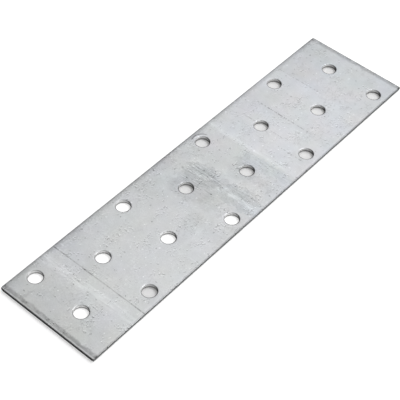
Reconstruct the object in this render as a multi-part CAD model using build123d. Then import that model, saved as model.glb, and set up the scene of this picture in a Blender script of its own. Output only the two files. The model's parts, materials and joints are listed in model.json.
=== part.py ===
from build123d import *
import os

# A mending plate, or nail plate: one flat piece of galvanised steel strip. The strip is slit to
# width, a staggered grid of nail holes is punched through it, and it is sheared off to length
# midway between two rows of holes.
#
# Millimetres. X runs along the plate, Y across it and Z up, square to it. The origin is the
# middle of the underside. The punch and the shear both came down onto the top face.

# The strip
LENGTH = 160.0
WIDTH = 40.0
THICKNESS = 1.5
CORNER_WEAR = 0.3  # along each side of a corner, blunted as the plates are tumbled and packed

# The nail holes stand in rows across the plate and in lines along it, with every second place
# punched, so that no two nails enter the same line of wood grain side by side
HOLE_DIAMETER = 5.0
ROW_PITCH = 20.0
LINE_PITCH = 10.0

# A cut through the sheet leaves three zones on its wall, from the top down: the die roll, where
# the face is drawn down towards the cut; the burnished land, straight and square to the face;
# and the fracture, where the metal broke away and the wall leans back under the land
FRACTURE_HEIGHT = 0.5
FRACTURE_DEPTH = 0.08

# The die roll is widest where the plate is sheared off, less where the strip is slit, and
# smallest round the punch
END_ROLL_WIDTH = 1.2
END_ROLL_DEPTH = 0.15
SIDE_ROLL_WIDTH = 0.8
SIDE_ROLL_DEPTH = 0.10
HOLE_ROLL_WIDTH = 0.5
HOLE_ROLL_DEPTH = 0.12

# How far the punch reaches past both faces of the sheet, so that it cuts clean through
PUNCH_OVERRUN = 1.0


def sheet_section(span, roll_width, roll_depth):
    """The section of a strip cut along both sides, `span` wide at its lands and centred on its
    underside, with the die roll at both ends of its top and the fracture at both ends below."""
    land = span / 2
    land_top = THICKNESS - roll_depth
    underside = Line((0, 0), (land - FRACTURE_DEPTH, 0))
    fracture = Line(underside @ 1, (land, FRACTURE_HEIGHT))
    burnished = Line(fracture @ 1, (land, land_top))
    top = Line((0, THICKNESS), (land - roll_width, THICKNESS))
    die_roll = TangentArc(top @ 1, burnished @ 1, tangent=top % 1)
    middle = Line(top @ 0, underside @ 0)
    half = make_face([underside, fracture, burnished, die_roll, top, middle])
    return half + mirror(half, about=Plane.YZ)


def punch():
    """The slug that one stroke takes out, on the Z axis: as wide as the die's mouth underneath,
    as wide as the punch along the land, and flared along the die roll at the top."""
    radius = HOLE_DIAMETER / 2
    mouth = radius + FRACTURE_DEPTH
    flare = radius + HOLE_ROLL_WIDTH
    below = Polyline((0, -PUNCH_OVERRUN), (mouth, -PUNCH_OVERRUN), (mouth, 0))
    fracture = Line(below @ 1, (radius, FRACTURE_HEIGHT))
    burnished = Line(fracture @ 1, (radius, THICKNESS - HOLE_ROLL_DEPTH))
    die_roll = TangentArc((flare, THICKNESS), burnished @ 1, tangent=(-1, 0))
    above = Polyline((flare, THICKNESS), (flare, THICKNESS + PUNCH_OVERRUN), (0, THICKNESS + PUNCH_OVERRUN))
    axis = Line(above @ 1, below @ 0)
    half_section = make_face([below, fracture, burnished, die_roll, above, axis])
    return revolve(Plane.XZ * half_section, Axis.Z)


def hole_places():
    """The centre of each nail hole: the places of a grid centred on the plate, taken
    alternately, as on a chessboard. The shear leaves half a pitch past the last rows."""
    rows = round(LENGTH / ROW_PITCH)
    lines = round(WIDTH / LINE_PITCH)
    for row in range(rows):
        for line in range(lines):
            if (row + line) % 2 == 1:
                x = (row - (rows - 1) / 2) * ROW_PITCH
                y = (line - (lines - 1) / 2) * LINE_PITCH
                yield x, y


def mending_plate():
    """The strip, slit along both sides, sheared at both ends and punched."""
    slit_section = sheet_section(WIDTH, SIDE_ROLL_WIDTH, SIDE_ROLL_DEPTH)
    sheared_section = sheet_section(LENGTH, END_ROLL_WIDTH, END_ROLL_DEPTH)
    slit_strip = extrude(Plane.YZ * slit_section, LENGTH / 2, both=True)
    sheared_strip = extrude(Plane.XZ * sheared_section, WIDTH / 2, both=True)
    sharp_outline = Rectangle(LENGTH, WIDTH)
    worn_outline = chamfer(sharp_outline.vertices(), CORNER_WEAR)
    blank = slit_strip & sheared_strip & extrude(worn_outline, THICKNESS)
    slug = punch()
    return blank - [Pos(x, y, 0) * slug for x, y in hole_places()]


os.makedirs("parts", exist_ok=True)
export_step(mending_plate(), "parts/mending_plate.step")
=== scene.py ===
import json
import math
import bmesh
import bpy
from mathutils import Matrix, Vector, noise


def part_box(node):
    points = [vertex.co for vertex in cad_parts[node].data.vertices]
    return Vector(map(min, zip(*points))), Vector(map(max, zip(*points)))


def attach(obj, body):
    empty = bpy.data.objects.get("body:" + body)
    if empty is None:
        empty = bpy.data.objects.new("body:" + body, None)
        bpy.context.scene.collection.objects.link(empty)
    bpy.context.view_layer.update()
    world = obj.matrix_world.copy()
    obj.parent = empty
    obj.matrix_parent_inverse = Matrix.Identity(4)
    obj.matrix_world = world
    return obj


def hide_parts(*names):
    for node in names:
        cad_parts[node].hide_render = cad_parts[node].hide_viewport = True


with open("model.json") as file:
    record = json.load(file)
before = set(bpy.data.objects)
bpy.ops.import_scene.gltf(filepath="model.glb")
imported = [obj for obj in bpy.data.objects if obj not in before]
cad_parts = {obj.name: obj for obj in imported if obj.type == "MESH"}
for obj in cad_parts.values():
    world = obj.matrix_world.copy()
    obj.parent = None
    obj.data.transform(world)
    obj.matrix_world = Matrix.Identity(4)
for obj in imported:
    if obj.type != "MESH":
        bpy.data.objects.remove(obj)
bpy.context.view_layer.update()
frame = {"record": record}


# The camera: a long lens on a stand. It looks down over one sheared end and along the plate, and
# is turned a little about its own axis.
MM = 0.001
plate_low, plate_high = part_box("mending_plate")


def stand(thing, aim, bearing, elevation, distance, roll=0.0):
    """Stands a camera or a lamp at a distance from a point, facing it. Its angles are degrees."""
    round_about, up = math.radians(bearing), math.radians(elevation)
    level = math.cos(up)
    towards = Vector((level * math.cos(round_about), level * math.sin(round_about), math.sin(up)))
    turn = towards.to_track_quat("Z", "Y").to_matrix() @ Matrix.Rotation(math.radians(roll), 3, "Z")
    thing.matrix_world = Matrix.Translation(aim + towards * distance) @ turn.to_4x4()
    bpy.context.scene.collection.objects.link(thing)


camera_data = bpy.data.cameras.new("studio_camera")
camera_data.lens = 109.0
camera_data.sensor_width = 36.0
camera_data.clip_start = 0.01
camera = bpy.data.objects.new("studio_camera", camera_data)
camera_aim = Vector((-10.91 * MM, -2.0 * MM, plate_high.z))
stand(camera, camera_aim, bearing=218.58, elevation=48.66, distance=401.9 * MM, roll=3.02)
bpy.context.scene.camera = camera


# The strip: steel sheet, hot-dip galvanised in the coil, slit to width and sheared to length.
# It starts as a flat sheet of small squares, with extra lines close to its edges, where the
# cut draws the face down, and along the crease that the rolls left near one end.
length = plate_high.x - plate_low.x
width = plate_high.y - plate_low.y
thickness = plate_high.z - plate_low.z
half_length = length / 2
half_width = width / 2
lengthways = Vector((1, 0, 0))
sideways = Vector((0, 1, 0))

square = 0.5 * MM
edge_lines = [inset * MM for inset in (0.012, 0.035, 0.09, 0.2, 0.34, 0.66, 0.82)]
crease_x = -57.5 * MM
crease_half_width = 0.22 * MM
# Places closer together than a hair count as one.
hair = 0.001 * MM

strip = bmesh.new()
bmesh.ops.create_grid(
    strip, x_segments=round(length / square), y_segments=round(width / square), size=0.5
)
bmesh.ops.scale(strip, vec=(length, width, 1), verts=strip.verts)
bmesh.ops.translate(strip, vec=(0, 0, thickness), verts=strip.verts)


def cut_line(distance, direction):
    """A line of new edges straight through the sheet, at a distance from its middle."""
    everything = strip.verts[:] + strip.edges[:] + strip.faces[:]
    bmesh.ops.bisect_plane(
        strip, geom=everything, dist=hair, plane_co=direction * distance, plane_no=direction
    )


for inset in edge_lines:
    for side in (-1, 1):
        cut_line(side * (half_length - inset), lengthways)
        cut_line(side * (half_width - inset), sideways)
for share in (-1, -0.5, 0.5, 1):
    cut_line(crease_x + share * crease_half_width, lengthways)


# The nail holes, punched from the top face. The punch draws the rim down into a die roll and
# burnishes the wall below it; then the slug breaks away and leaves a rough, slightly wider
# mouth with a fine burr. Each hole is one turned profile, let into a window in the sheet.
hole_mounts = [mount for mount in frame["record"]["mounts"] if mount["kind"] == "bore"]
nail_holes = [Vector((mount["pos_m"][0], mount["pos_m"][1], 0)) for mount in hole_mounts]
hole_radius = hole_mounts[0]["dims"]["r_mm"] * MM
window_squares = 16
window_half = window_squares * square / 2
hole_steps = 4 * window_squares

fracture_height = 0.5 * MM
fracture_depth = 0.08 * MM
edge_round = 0.05 * MM
worn_foot = 0.03 * MM
burr_height = 0.02 * MM
burr_foot = 0.3 * MM
hole_roll_width = 0.5 * MM
hole_roll_depth = 0.12 * MM
hole_rim = [out * MM for out in (0.0, 0.012, 0.035, 0.09, 0.17, 0.27, 0.38, 0.5)]


def die_roll(distance, roll_width, roll_depth):
    """How far the top face is drawn down at a distance in from a cut."""
    inward = max(0.0, 1 - distance / roll_width)
    corner = max(0.0, 1 - distance / edge_round)
    return roll_depth * inward ** 2 + edge_round * (1 - math.sqrt(1 - min(1.0, corner) ** 2))


# The wall of a cut from the burr up: how far it leans back under the land, and its height.
wall_profile = [
    (fracture_depth + worn_foot, 0.0),
    (fracture_depth, worn_foot),
    (fracture_depth * 0.75, fracture_height * 0.35),
    (fracture_depth * 0.4, fracture_height * 0.7),
    (fracture_depth * 0.1, fracture_height * 0.95),
    (0.0, fracture_height + 0.06 * MM),
    (0.0, fracture_height + 0.4 * MM),
]
# The same wall turned about a hole, between the slope of the burr and the die roll.
hole_profile = [(hole_radius + fracture_depth + burr_foot, burr_height)]
hole_profile += [(hole_radius + back, height) for back, height in wall_profile]
hole_profile += [
    (hole_radius + out, thickness - die_roll(out, hole_roll_width, hole_roll_depth)) for out in hole_rim
]


def in_window(place, hole):
    return max(abs(place.x - hole.x), abs(place.y - hole.y)) < window_half + hair


windows = [
    face for face in strip.faces
    if any(in_window(face.calc_center_median(), hole) for hole in nail_holes)
]
bmesh.ops.delete(strip, geom=windows, context="FACES")

# The underside is a second sheet, with the same windows, facing down.
lower = bmesh.ops.duplicate(strip, geom=strip.verts[:] + strip.edges[:] + strip.faces[:])["geom"]
lower_verts = [part for part in lower if isinstance(part, bmesh.types.BMVert)]
lower_faces = [part for part in lower if isinstance(part, bmesh.types.BMFace)]
bmesh.ops.translate(strip, vec=(0, 0, -thickness), verts=lower_verts)
bmesh.ops.reverse_faces(strip, faces=lower_faces)

# The wall round the outside joins the two sheets, in as many rings as its profile has.
outline = [
    edge for edge in strip.edges
    if edge.is_boundary and not any(in_window(edge.verts[0].co, hole) for hole in nail_holes)
]
upright_edges = [
    edge for edge in bmesh.ops.bridge_loops(strip, edges=outline)["edges"]
    if abs(edge.verts[0].co.z - edge.verts[1].co.z) > thickness / 2
]
bmesh.ops.subdivide_edges(strip, edges=upright_edges, cuts=len(wall_profile) - 1)

# One punched hole with the square of sheet round it, above and below; then a copy in each window.
punched = bmesh.new()
profile_verts = [punched.verts.new((radius, 0, height)) for radius, height in hole_profile]
profile_edges = [punched.edges.new(pair) for pair in zip(profile_verts, profile_verts[1:])]
bmesh.ops.spin(
    punched, geom=profile_verts + profile_edges, cent=(0, 0, 0), axis=(0, 0, 1), dvec=(0, 0, 0),
    angle=math.tau, steps=hole_steps, use_merge=True, use_duplicate=False,
)
turned_rims = [edge for edge in punched.edges if edge.is_boundary]
for height in (thickness, 0.0):
    sheet = bmesh.ops.create_grid(
        punched, x_segments=window_squares, y_segments=window_squares, size=window_half,
        matrix=Matrix.Translation((0, 0, height)),
    )
    sheet_verts = set(sheet["verts"])
    sheet_faces = [face for face in punched.faces if sheet_verts.issuperset(face.verts)]
    bmesh.ops.delete(punched, geom=sheet_faces, context="FACES_KEEP_BOUNDARY")
    window_edges = [edge for edge in punched.edges if edge.is_wire]
    rim = [edge for edge in turned_rims if abs(edge.verts[0].co.z - height) < thickness / 2]
    webs = bmesh.ops.bridge_loops(punched, edges=window_edges + rim)["edges"]
    bmesh.ops.subdivide_edges(punched, edges=webs, cuts=2)
punched_mesh = bpy.data.meshes.new("punched_hole")
punched.to_mesh(punched_mesh)
punched.free()
for hole in nail_holes:
    first = len(strip.verts)
    strip.from_mesh(punched_mesh)
    strip.verts.ensure_lookup_table()
    bmesh.ops.translate(strip, vec=hole, verts=strip.verts[first:])
bpy.data.meshes.remove(punched_mesh)
bmesh.ops.remove_doubles(strip, verts=strip.verts, dist=hair)
bmesh.ops.recalc_face_normals(strip, faces=strip.faces)


# The form of the cuts and the small unevenness of rolled sheet. One pass over the vertices takes
# them from the flat sheets and straight walls above to the worn, drawn and torn shape of the
# real plate, and notes how much painted light falls on each cut wall and hole rim.
end_roll_width, end_roll_depth = 1.2 * MM, 0.15 * MM
side_roll_width, side_roll_depth = 0.8 * MM, 0.10 * MM
corner_radius = 0.3 * MM
wave_depth = 0.012 * MM
crease_depth = 0.02 * MM
crease_wander = 0.12 * MM
tear_depth = 0.03 * MM
tear_drop = 0.09 * MM


def relief(x, y):
    """How far the top face lies below the highest plane: long soft waves and the crease."""
    place = Vector((x, y, 0)) / MM
    waves = 0.5 + 0.5 * noise.noise(Vector((place.x / 17, place.y / 26, 3.1)))
    ripple = 0.5 + 0.5 * noise.noise(Vector((place.x / 4, place.y / 13, 8.7)))
    wander = crease_wander * noise.noise(Vector((2.3, place.y / 6, 0.4)))
    crease = max(0.0, 1 - abs(x - crease_x - wander) / crease_half_width)
    return wave_depth * (0.8 * waves + 0.2 * ripple) + crease_depth * crease


def torn(x, y, height):
    """How deep the fracture is torn at a place on a wall. It is deepest about halfway up."""
    zone = max(0.0, 1 - abs(height / fracture_height - 0.55) / 0.6)
    coarse = noise.noise(Vector((x, y, height * 2)) / (0.9 * MM))
    fine = noise.noise(Vector((x, y, height)) / (0.35 * MM))
    return tear_depth * zone * max(0.0, 0.5 + coarse + 0.5 * fine)


def tear_line(x, y, height):
    """How far the top of the fracture wanders up or down at a place on a wall."""
    if height < fracture_height * 0.9 or height > fracture_height + 0.1 * MM:
        return 0.0
    return tear_drop * noise.noise(Vector((x, y, 0)) / (2.2 * MM))


def round_corner(x, y):
    """Turns the square rings of vertices at a sharp corner into round ones."""
    over_x = abs(x) - (half_length - corner_radius)
    over_y = abs(y) - (half_width - corner_radius)
    if over_x <= 0 or over_y <= 0:
        return x, y
    shrink = max(over_x, over_y) / math.hypot(over_x, over_y)
    return (
        math.copysign(half_length - corner_radius + over_x * shrink, x),
        math.copysign(half_width - corner_radius + over_y * shrink, y),
    )


# Painted light on the cut walls: a little on the long sides, and on each hole's wall and rim the
# most on one side, as if lit from there. The underside is squeezed in at its edge, to meet the leaning
# wall.
painted_slit_light = 0.2
painted_bore_light = 0.3
painted_rim_light = 0.2
least_painted_light = 0.12
# The side from which the holes look lit: their walls and rims get painted light there.
lit_side = Vector((0.29, 0.8, 0))
rim_reach = 1.2 * MM
near_edge = 0.5 * MM
foot_inset = fracture_depth + worn_foot
squeeze = 1 - foot_inset / near_edge
rings = len(wall_profile)
rim_layer = strip.verts.layers.float.new("rim_nearness")
side_light_layer = strip.verts.layers.float.new("painted_side_light")
for vert in strip.verts:
    x, y, z = vert.co
    end_gap, side_gap = half_length - abs(x), half_width - abs(y)
    edge_gap = min(end_gap, side_gap)
    hole = min(nail_holes, key=lambda centre: (centre.x - x) ** 2 + (centre.y - y) ** 2)
    spoke = Vector((x - hole.x, y - hole.y, 0))
    hole_gap = spoke.length - hole_radius
    toward_light = spoke.normalized().dot(lit_side)
    ring = round(z / thickness * rings)
    side_light = 0.0
    if edge_gap < hair and ring < rings:
        back, height = wall_profile[ring]
        z = height + tear_line(x, y, height)
        back += torn(x, y, z)
        # Painted light on the long walls, so that they look lighter than the end walls.
        side_light = painted_slit_light if side_gap < end_gap else 0.0
        x = math.copysign(min(abs(x), half_length - back), x)
        y = math.copysign(min(abs(y), half_width - back), y)
    elif hole_gap < fracture_depth + hair and hair < z < thickness - hair:
        # Painted light on a hole's wall, most on its lit side.
        side_light = max(least_painted_light, painted_bore_light + toward_light)
        back = torn(x, y, z)
        x += spoke.x / spoke.length * back
        y += spoke.y / spoke.length * back
        z += tear_line(x, y, z)
    elif z < hair:
        if edge_gap < near_edge:
            x = math.copysign(min(abs(x), half_length - foot_inset - end_gap * squeeze), x)
            y = math.copysign(min(abs(y), half_width - foot_inset - side_gap * squeeze), y)
        if hole_gap > fracture_depth + burr_foot - hair:
            z = burr_height * min(1.0, edge_gap / burr_foot)
    elif z > thickness - hair:
        z -= die_roll(end_gap, end_roll_width, end_roll_depth)
        z -= die_roll(side_gap, side_roll_width, side_roll_depth)
    upper = max(0.0, 2 * z / thickness - 1)
    z -= relief(x, y) * upper
    # Painted light on a hole's rim, most on its lit side.
    if 0 <= hole_gap < rim_reach and z > thickness / 2:
        side_light = max(side_light, least_painted_light, painted_rim_light + toward_light)
    vert[rim_layer] = max(0.0, 1 - max(hole_gap, 0.0) / rim_reach)
    vert[side_light_layer] = side_light
    x, y = round_corner(x, y)
    vert.co = (x, y, z)

zinc_slot, steel_slot = 0, 1
steepest_zinc = 0.6
strip.normal_update()
for face in strip.faces:
    face.smooth = True
    face.material_index = steel_slot if abs(face.normal.z) < steepest_zinc else zinc_slot
plate_mesh = bpy.data.meshes.new("mending_plate_sheet")
strip.to_mesh(plate_mesh)
strip.free()
plate = bpy.data.objects.new("mending_plate_sheet", plate_mesh)
bpy.context.scene.collection.objects.link(plate)


# The zinc coat, which set on the strip as it left the bath and was then rolled smooth: a grey
# metal skin, mottled and specked with fine dross, with marks straight across where rolls and
# levellers gripped the sheet, and stains from handling and storage.
class Amount:
    """What a node puts out: a number, colour or place. Arithmetic on numbers adds Math nodes."""

    def __init__(self, finish, socket):
        self.finish = finish
        self.socket = socket

    def __add__(self, other):
        return self.finish.maths("ADD", self, other)

    def __sub__(self, other):
        return self.finish.maths("SUBTRACT", self, other)

    def __rsub__(self, other):
        return self.finish.maths("SUBTRACT", other, self)

    def __mul__(self, other):
        return self.finish.maths("MULTIPLY", self, other)

    def __abs__(self):
        return self.finish.maths("ABSOLUTE", self)

    __radd__ = __add__
    __rmul__ = __mul__

    def also(self, output):
        """Another output of the node that this number comes from."""
        return Amount(self.finish, self.socket.node.outputs[output])


class Finish:
    """The node tree of a material or a world, with the few ways of adding nodes that it needs."""

    def __init__(self, owner):
        owner.use_nodes = True
        self.owner = owner
        self.tree = owner.node_tree
        self.tree.nodes.clear()

    def add(self, kind, settings=None, sockets=None, take=0):
        """Adds one node, sets it up, fills its sockets, and gives back one of its outputs."""
        node = self.tree.nodes.new(kind)
        for name, value in (settings or {}).items():
            setattr(node, name, value)
        for name, value in (sockets or {}).items():
            if isinstance(value, Amount):
                self.tree.links.new(value.socket, node.inputs[name])
            else:
                node.inputs[name].default_value = value
        return Amount(self, node.outputs[take]) if node.outputs else None

    def maths(self, operation, *operands):
        return self.add("ShaderNodeMath", {"operation": operation}, dict(enumerate(operands)))

    def rise(self, value, low, high):
        """0 at `low`, 1 at `high`, and a smooth step between them."""
        settings = {"interpolation_type": "SMOOTHSTEP"}
        sockets = {"Value": value, "From Min": low, "From Max": high}
        return self.add("ShaderNodeMapRange", settings, sockets)

    def band(self, value, low, high, soft):
        """1 between `low` and `high`, with soft edges."""
        after_low = self.rise(value, low - soft, low + soft)
        return after_low * (1 - self.rise(value, high - soft, high + soft))

    def place(self):
        """The place on the object, in millimetres."""
        return self.stretch(self.add("ShaderNodeTexCoord", take="Object"), (1 / MM, 1 / MM, 1 / MM))

    def stretch(self, place, scale, shift=(0, 0, 0)):
        """A place with each of its three numbers times its scale, plus its shift."""
        settings = {"operation": "MULTIPLY_ADD"}
        return self.add("ShaderNodeVectorMath", settings, {0: place, 1: scale, 2: shift})

    def distance(self, place):
        """How far a place lies from the origin."""
        return self.add("ShaderNodeVectorMath", {"operation": "LENGTH"}, {0: place}, take="Value")

    def cloud(self, place, scale, detail=2.0, roughness=0.5, take="Fac"):
        """Soft noise of about the size 1 / scale, from 0 to 1 with most of it near 0.5."""
        sockets = {"Vector": place, "Scale": scale, "Detail": detail, "Roughness": roughness}
        return self.add("ShaderNodeTexNoise", {}, sockets, take)

    def threads(self, noise_field, thin, wide):
        """Thin crooked lines, where a noise crosses its middle level."""
        return 1 - self.rise(abs(noise_field - 0.5), thin, wide)

    def grey(self, tone):
        return self.add("ShaderNodeCombineColor", {}, {"Red": tone, "Green": tone, "Blue": tone})


zinc = Finish(bpy.data.materials.new("galvanised_zinc"))
along = zinc.add("ShaderNodeSeparateXYZ", {}, {0: zinc.place()}, take="X")
across = along.also("Y")
top_side = zinc.rise(along.also("Z"), 0.6, 0.9)
# Materials measure the plate in millimetres.
half_along = half_length / MM
half_across = half_width / MM
# The underside has the same mottle, but from another part of the noise.
skin = zinc.add("ShaderNodeCombineXYZ", {}, {"X": along, "Y": across, "Z": top_side * 60})

drift = zinc.cloud(skin, 0.07, 1.0) - 0.5
mottle = zinc.cloud(skin, 0.32, 3.0, 0.6) - 0.5
grain = zinc.cloud(skin, 1.3, 3.0, 0.65) - 0.5
dust = zinc.cloud(skin, 4.0, 1.0) - 0.5
streaks = zinc.cloud(zinc.stretch(skin, (1.8, 0.14, 1)), 1.0, 3.0, 0.65) - 0.5
rough_parts = zinc.rise(zinc.cloud(skin, 0.16, 3.0, 0.7), 0.42, 0.6)


def pushed_about(reach, scale, detail, roughness):
    """The skin with each place pushed by up to `reach`, so that what is drawn on it is ragged."""
    push = zinc.cloud(skin, scale, detail, roughness, take="Color")
    push = zinc.stretch(push, (2 * reach, 2 * reach, 0), (-reach, -reach, 0))
    return zinc.add("ShaderNodeVectorMath", {"operation": "ADD"}, {0: push, 1: skin})


ragged = pushed_about(4.0, 0.4, 4.0, 0.7)
shaky = pushed_about(0.8, 1.6, 2.0, 0.6)


def specks(scale, shift, radius, share):
    """Small round specks, one in some of the cells of a mesh of the size 1 / scale."""
    moved = zinc.stretch(shaky, (1, 1, 1), shift)
    settings = {"voronoi_dimensions": "2D"}
    from_speck = zinc.add("ShaderNodeTexVoronoi", settings, {"Vector": moved, "Scale": scale})
    lot = zinc.add("ShaderNodeSeparateColor", {}, {0: from_speck.also("Color")})
    chosen = zinc.rise(lot, 1 - share, 1 - share + 0.02)
    return (1 - zinc.rise(from_speck, 0.6 * radius * scale, 1.4 * radius * scale)) * chosen


def worms(shift):
    """Short thin crooked marks."""
    moved = zinc.stretch(skin, (1, 1, 1), shift)
    thread = zinc.threads(zinc.cloud(moved, 0.7, 2.0), 0.01, 0.045)
    return thread * zinc.rise(zinc.cloud(moved, 1.4, 1.0), 0.5, 0.58)


def patches(spots):
    """Soft patches with ragged rims: (along, across, half length, half width, strength), added up."""
    total = 0
    for x, y, half_x, half_y, strength in spots:
        spot = zinc.stretch(ragged, (1 / half_x, 1 / half_y, 0), (-x / half_x, -y / half_y, 0))
        total = strength * (1 - zinc.rise(zinc.distance(spot), 0.85, 1.12)) + total
    return total


def lines(strokes, broken):
    """Thin straight marks across the strip: (place, from, to, half width, strength), added up."""
    total = 0
    for x, low, high, half, strength in strokes:
        line = 1 - zinc.rise(abs(along - x), 0.3 * half, half)
        total = strength * line * zinc.band(across, low, high, 1.5) + total
    return total * broken


# Dark pits gather in clusters. Each is drawn again pale and a little shifted, a painted highlight on its
# far side, so that each pair is painted shade and light, as on a small bump lit from one side. Others
# lie by themselves.
clusters = zinc.rise(zinc.cloud(zinc.stretch(skin, (1, 1, 1), (5, 40, 0)), 0.22, 2.0), 0.5, 0.62)
clusters = clusters + patches([(-0.5, 3, 3.5, 9, 0.4), (-21, -5, 4, 4, 0.6)])
pits_and_painted_shade = (0.8 * specks(1.0, (0, 0, 0), 0.2, 0.2) + worms((0, 0, 0))) * clusters
pits_and_painted_shade = pits_and_painted_shade + specks(0.4, (31, 7, 0), 0.2, 0.2)
# The pale, shifted copy: painted highlights beside the clustered pits, with some pale specks on their
# own.
specks_and_painted_lips = (0.8 * specks(1.0, (-0.3, -0.3, 0), 0.2, 0.2) + worms((-0.25, -0.25, 0))) * clusters
specks_and_painted_lips = specks_and_painted_lips + specks(0.5, (11, 17, 0), 0.2, 0.15)

# Damp left darker stains, most of them near the middle, with streaks and crooked lines over them.
stains = patches([
    (-7, 3.5, 7.5, 8, -0.10),
    (-2.5, 5, 4.5, 8, -0.06),
    (0, 3, 2.6, 8.5, -0.035),
    (-9, -5, 4.6, 4, -0.06),
    (-4.4, -12, 1.5, 8, -0.08),
    (0.3, -12, 1.7, 8, -0.11),
    (8, -4, 4, 5, -0.06),
    (8.8, -13, 1.4, 6, -0.05),
    (15.5, -10, 2.5, 10, -0.04),
    (-53, 18, 6, 2.5, -0.05),
    (-30, -7, 4, 3, -0.03),
    (12.5, -1, 2.8, 2.6, -0.08),
    (10, -5, 4, 3.6, -0.03),
    (6, 13, 3.5, 3, -0.04),
    (-10, 8, 4, 4, -0.05),
    (-30, 18, 4, 2.5, -0.03),
    (28, -15, 4, 4, -0.025),
    (-52, -15, 3.5, 3.5, -0.025),
    (-20, -6.5, 4.5, 3.5, -0.05),
    (-20.5, 16, 3, 2, -0.05),
    (-6.5, 18.3, 4.5, 3.2, -0.07),
    (-26, -3, 4.5, 8, -0.03),
    (-52, 5, 2.5, 3, -0.03),
    (33, 13.5, 4, 3, -0.03),
    (34, -13, 4, 4, -0.02),
    (11, 19, 4, 2.5, -0.05),
    (70, -17, 2, 1.6, -0.07),
    (-76, 11.5, 2, 0.9, -0.12),
])
# Small streaky spots lie among the stains, all of them pale but one.
streaky_spots = patches([
    (-2.5, 5, 0.6, 5, 0.10),
    (5.2, -6, 1.8, 10, 0.03),
    (36.3, -9, 1.2, 6, 0.03),
    (0.5, 9, 3, 2.5, 0.06),
    (0, -3, 2.5, 2, -0.05),
    (-13.5, -15, 3, 3.5, 0.04),
    (-42, -9, 14, 8, 0.01),
])
streaky_parts = patches([(-3, 4, 6, 8, 1.0), (-1, -12, 4, 8, 1.0), (13, -10, 5, 10, 0.7)])
crooked = zinc.stretch(skin, (1, 0.3, 1), (0, 19, 0))
crooked_lines = zinc.threads(zinc.cloud(crooked, 0.6, 3.0), 0.01, 0.035)
crooked_parts = patches([(-1, 5, 4.5, 6.5, 0.13), (0, -11, 4, 8, 0.12)])
stain_streaks = streaky_parts * 0.5 * streaks - crooked_parts * crooked_lines

# Handling left worm-like scuffs in places, and fine bright and dark scratches straight across.
scuffed_parts = zinc.rise(zinc.cloud(skin, 0.09, 2.0), 0.5, 0.6)
scuff_lines = zinc.threads(zinc.cloud(skin, 0.25, 3.0, 0.6), 0.004, 0.02)
bright_cloud = zinc.cloud(zinc.stretch(skin, (2.8, 0.2, 1), (9, 5, 0)), 1.0, 2.0)
dark_cloud = zinc.cloud(zinc.stretch(skin, (2.8, 0.2, 1), (77, 25, 0)), 1.0, 2.0)
bright_scratches = zinc.rise(bright_cloud, 0.64, 0.74)
dark_scratches = zinc.rise(dark_cloud, 0.66, 0.76)
scuffs = 0.10 * bright_scratches - 0.12 * dark_scratches - 0.14 * scuff_lines * scuffed_parts

# The rolls left broad bands of tone across the strip, some with sharp borders, thin broken lines,
# and the crease with its pale streaky neighbour.
rolled_bands = (
    0.06 * zinc.band(along, -68, -21, 4.0)
    + 0.04 * zinc.band(along, 18.4, 57.2, 0.3)
    + 0.03 * zinc.band(along, 17.8, 21.0, 0.8)
    + 0.045 * (1 - zinc.rise(along, -76, -10))
    - 0.07 * zinc.rise(along, 56, 84)
    - 0.03 * zinc.band(along, 37.0, 39.8, 0.6)
    - 0.02 * zinc.rise(along, 30, 44)
    - 0.025 * (1 - zinc.rise(across, -18, -2))
    - 0.05 * zinc.band(across, 8, 17.5, 2) * zinc.band(along, 40, 76, 6)
)
band_borders = lines([
    (18.5, -14, 20, 1.3, 0.055),
    (-2.2, -18, -7, 1.2, 0.10),
    (-4.6, -19, -6, 1.0, -0.03),
], 1 + 4 * streaks)
dots = zinc.rise(zinc.cloud(zinc.stretch(skin, (0.2, 1, 1)), 1.6, 1.0), 0.42, 0.6)
roll_lines = lines([
    (38.7, 0, 14, 0.3, -0.5),
    (38.7, -9, 0, 0.3, -0.25),
    (30.3, -5, 12, 0.3, -0.3),
    (26.2, -16, -5, 0.3, -0.3),
    (57.4, -3, 19, 0.3, -0.25),
], dots)
# The dark line along the crease is partly a mark left by the rolls and partly painted shade in the
# crease.
crease_mark_and_shade = lines([
    (crease_x / MM, low, high, half, strength) for low, high, half, strength in [
        (-20, 20, 0.32, -0.28),
        (17.7, 19.3, 0.32, -0.25),
        (13, 16, 0.32, -0.22),
        (5, 5.8, 0.42, -0.55),
        (0.5, 4.5, 0.32, -0.15),
        (-9.9, -9.3, 0.38, -0.45),
        (-20, -15.8, 0.32, -0.24),
    ]
], 0.8 + 4 * grain)
beside_crease = zinc.band(along + 0.02 * across, -63.8, -60.6, 0.8)
smear_band = beside_crease * (0.09 + 0.9 * streaks) * (0.4 + 0.6 * zinc.rise(across, -19, -3))

# The punch's guide left a ring beside one hole, on its far side.
ring_x, ring_y = 10, 15
from_ring = zinc.distance(zinc.stretch(skin, (1, 1, 0), (-ring_x, -ring_y, 0)))
bright_ring = zinc.band(from_ring, 2.7, 3.2, 0.15)
dark_ring = zinc.band(from_ring, 3.55, 3.9, 0.15)
ring_side = zinc.rise(0.92 * across + 0.39 * along, 19.7, 20.5)
guide_ring = (0.16 * bright_ring - 0.5 * dark_ring) * ring_side

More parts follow.
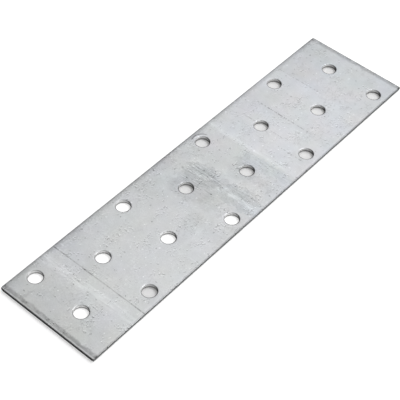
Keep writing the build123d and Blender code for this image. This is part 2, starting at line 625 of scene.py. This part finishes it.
# At the cuts the zinc is drawn over the die roll, where it dulls and crazes. The dark bands there are
# partly that dull zinc and partly painted shade on the rolled-down faces; a light line just in from the
# near end is a painted highlight, and the very edges get painted shade. Each gap is the distance from
# one of the four edges.
near_gap = along + half_along
far_gap = half_along - along
back_gap = half_across - across
front_gap = across + half_across
dull_band_patchiness = 0.4 + 0.9 * zinc.rise(mottle + 0.7 * grain, -0.18, 0.16)
dull_and_shaded_cut_edges = (
    # A painted highlight just in from the near end, and painted shade on its very edge.
    0.25 * zinc.band(near_gap, 0.2, 0.55, 0.12)
    - 0.6 * (1 - zinc.rise(near_gap, 0.05, 0.25))
    - 0.35 * zinc.band(near_gap + 2 * mottle, 0.75, 1.9, 0.4) * dull_band_patchiness
    - 0.33 * (1 - zinc.rise(far_gap + 3 * mottle + 2 * grain, 1.0, 2.3)) * dull_band_patchiness
    # Painted shade on the very far edge; below, dull bands and painted shade along the back and front
    # edges.
    - 0.25 * (1 - zinc.rise(far_gap, 0.1, 0.5))
    - 0.24 * (1 - zinc.rise(back_gap + 3 * mottle + 4 * grain, 0.6, 2.2)) * dull_band_patchiness
    - 0.28 * (1 - zinc.rise(back_gap, 0.1, 0.6))
    - 0.50 * (1 - zinc.rise(front_gap, 0.1, 0.75))
    - 0.035 * zinc.rise(across, 14, 20)
)
rim_nearness = zinc.add("ShaderNodeAttribute", {"attribute_name": "rim_nearness"}, take="Fac")
rim_side_light = zinc.add("ShaderNodeAttribute", {"attribute_name": "painted_side_light"}, take="Fac")
# Painted light and shade round each hole: a faint painted highlight just outside the rim on its lit
# side, and a line of painted shade on the rolled edge itself, darkest on the side away from the light.
painted_rim_light_and_shade = (
    0.03 * zinc.band(rim_nearness, 0.4, 0.7, 0.12) * rim_side_light
    - (1.1 - 0.85 * rim_side_light) * zinc.rise(rim_nearness, 0.68, 0.92)
)

# Real marks, together with the painted shade and highlight of the cut edges and the painted shade in the
# crease.
marks = (
    stains * (1 - 3 * streaks + 2 * mottle) + streaky_spots * (1 + 3 * streaks)
    + scuffs + smear_band + rolled_bands + roll_lines + guide_ring
    + stain_streaks + band_borders + crease_mark_and_shade + dull_and_shaded_cut_edges
)
# The far half of the strip is smoother.
far_half = zinc.rise(along, 2, 34)
fine_texture = (0.42 * grain + 0.25 * dust) * (0.3 + 0.9 * rough_parts) * (1 - 0.6 * far_half)
flaws_and_painted_relief = (0.29 * specks_and_painted_lips - 0.44 * pits_and_painted_shade) * (1 - 0.25 * far_half)
texture = 0.10 * drift + 0.26 * mottle + fine_texture + flaws_and_painted_relief
zinc_grey = 0.594
tone = zinc_grey * (1 + texture + painted_rim_light_and_shade + marks * top_side)

# The grey leans a little to warm or cool from place to place, and to blue and green in the stains.
hue = zinc.add("ShaderNodeSeparateColor", {}, {0: zinc.cloud(skin, 0.12, 1.0, take="Color")}, take="Red")
past_first_third = zinc.rise(along, -25, 0)
redness = (0.045 + 0.035 * past_first_third) * (hue - 0.5)
blueness = (0.08 + 0.02 * past_first_third) * (hue.also("Blue") - 0.5)
blue_parts = patches([
    (-5.5, 4, 7.5, 7.5, 0.012),
    (-2, -12, 4.5, 9, 0.015),
    (14.5, -10, 3.5, 10, 0.02),
    (-53, 18, 6, 2.5, 0.02),
])
green_parts = patches([
    (-2.5, 5, 5, 7, 0.012),
    (-2, -12, 4.5, 9, 0.014),
    (15.5, -10, 2.5, 12, 0.015),
    (73, 0, 7, 22, 0.013),
])
coolness = (
    blue_parts + 0.013 * zinc.rise(along, -72, -60)
    + 0.003 * zinc.rise(along, 0, 12) + 0.016 * zinc.rise(along, 17, 20)
)
zinc_colour = zinc.add("ShaderNodeCombineColor", {}, {
    "Red": tone * (0.98 + redness - green_parts * top_side),
    "Green": tone,
    "Blue": tone * (1 + blueness + coolness * top_side),
})
unevenness = 0.8 * grain + 0.5 * mottle + 0.5 * dust + 0.5 * specks_and_painted_lips - 0.5 * pits_and_painted_shade
zinc_bump = zinc.add("ShaderNodeBump", {}, {
    "Strength": 0.3,
    "Distance": 0.1 * MM,
    "Height": unevenness,
})
zinc_shader = zinc.add("ShaderNodeBsdfPrincipled", {}, {
    "Base Color": zinc_colour,
    "Metallic": 0.9,
    "Roughness": 0.42 + 0.25 * mottle + 0.2 * grain,
    "Normal": zinc_bump,
})
zinc.add("ShaderNodeOutputMaterial", {}, {"Surface": zinc_shader})


# The cut walls: near-black steel, partly its own dark colour and partly painted shade. Painted light is
# added on the long sides and, most of it on one side of each hole, on the hole walls, fading to painted
# shade at the foot of each wall. The torn lower part of the two slit sides is pale: partly a matt
# fracture, partly a painted reflection of the white floor.
steel = Finish(bpy.data.materials.new("sheared_steel"))
wall_place = steel.place()
wall_height = steel.add("ShaderNodeSeparateXYZ", {}, {0: wall_place}, take="Z")
slit_side = steel.rise(abs(wall_height.also("Y")), half_across - 0.8, half_across - 0.5)
wall_grain = steel.cloud(wall_place, 1.5, 3.0, 0.6)
wall_side_light = steel.add("ShaderNodeAttribute", {"attribute_name": "painted_side_light"}, take="Fac")
# Near-black: partly the steel's own dark colour, partly painted shade.
dark_steel_and_painted_shade = 0.01 + 0.03 * wall_grain
# Painted light on the lit side of the walls, fading to painted shade at the foot.
painted_wall_light = wall_side_light * (0.45 + 0.7 * wall_grain) * (0.35 + 0.65 * steel.rise(wall_height, 0.2, 1.1))
# Pale lower part of the slit sides: partly matt fracture, partly a painted reflection of the white
# floor.
pale_fracture_and_floor_reflection = slit_side * (0.36 + 0.6 * wall_grain) * (1 - steel.rise(wall_height, 0.2, 0.95))
steel_shader = steel.add("ShaderNodeBsdfPrincipled", {}, {
    "Base Color": steel.grey(dark_steel_and_painted_shade + painted_wall_light + pale_fracture_and_floor_reflection),
    "Metallic": 0.75,
    "Roughness": 0.7,
    "Specular IOR Level": 0.0,
})
steel.add("ShaderNodeOutputMaterial", {}, {"Surface": steel_shader})
plate_mesh.materials.append(zinc.owner)
plate_mesh.materials.append(steel.owner)

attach(plate, "root")
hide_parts("mending_plate")


# The studio floor: matt white board, lifted for the camera so that it shows pure white where the
# light falls on it, and keeps the plate's faint shadow. Seen through the nail holes, it is lifted a
# little more under the near end of the plate, a painted light, and less under the far part and one near
# hole, a painted shade.
board_half = 1.5
board = bmesh.new()
bmesh.ops.create_grid(board, x_segments=4, y_segments=4, size=board_half)
board_mesh = bpy.data.meshes.new("studio_floor")
board.to_mesh(board_mesh)
board.free()
floor = bpy.data.objects.new("studio_floor", board_mesh)
bpy.context.scene.collection.objects.link(floor)

paper = Finish(bpy.data.materials.new("white_board"))
board_x = paper.add("ShaderNodeSeparateXYZ", {}, {0: paper.place()}, take="X")
board_y = board_x.also("Y")
under_x, under_y = half_along - 1, half_across - 1
under_plate = paper.band(board_x, -under_x, under_x, 0.5) * paper.band(board_y, -under_y, under_y, 0.5)
far_part = paper.rise(board_x + 0.5 * board_y, -14, -9)
one_near_hole = paper.band(board_x, -55, -44, 1) * (1 - paper.rise(board_y, -10, -8))
to_camera = paper.add("ShaderNodeLightPath", take="Is Camera Ray")
to_gloss = paper.maths("MAXIMUM", to_camera.also("Is Glossy Ray"), to_camera.also("Is Transmission Ray"))
seen = paper.maths("MAXIMUM", to_camera, to_gloss)
open_lift = 0.38
near_painted_light = 0.14
far_painted_shade = 0.42
# Painted light under the near end of the plate, and painted shade under its far part and one near hole.
lift = seen * (open_lift + under_plate * (near_painted_light - far_painted_shade * (far_part + one_near_hole)))
board_shader = paper.add("ShaderNodeBsdfPrincipled", {}, {
    "Base Color": (0.88, 0.88, 0.88, 1),
    "Roughness": 1.0,
    "Specular IOR Level": 0.0,
    "Emission Color": paper.grey(lift),
    "Emission Strength": 1.0,
})
paper.add("ShaderNodeOutputMaterial", {}, {"Surface": board_shader})
board_mesh.materials.append(paper.owner)


# The light: a white tent all round, brightest at the horizon, and two soft boxes, a broad one
# beyond the far end of the plate and a small one high on the right.
glow_at_horizon = 1.3
glow_above = 0.52
tent = Finish(bpy.data.worlds.new("white_tent"))
sky_height = tent.add(
    "ShaderNodeSeparateXYZ", {}, {0: tent.add("ShaderNodeTexCoord", take="Generated")}, take="Z"
)
glow = glow_at_horizon - (glow_at_horizon - glow_above) * tent.rise(sky_height, 0, 0.7)
background = tent.add("ShaderNodeBackground", {}, {"Strength": glow})
tent.add("ShaderNodeOutputWorld", {}, {"Surface": background})
bpy.context.scene.world = tent.owner


def soft_box(name, size, power, bearing, elevation):
    """A square lamp that faces the middle of the floor from a lamp stand."""
    lamp_data = bpy.data.lights.new(name, "AREA")
    lamp_data.shape = "SQUARE"
    lamp_data.size = size
    lamp_data.energy = power
    lamp = bpy.data.objects.new(name, lamp_data)
    stand(lamp, Vector((0, 0, 0)), bearing, elevation, distance=0.9)


soft_box("far_soft_box", size=1.0, power=2.5, bearing=8, elevation=50)
soft_box("side_soft_box", size=0.3, power=2.0, bearing=-35, elevation=62)

bpy.context.scene.view_settings.view_transform = "Standard"
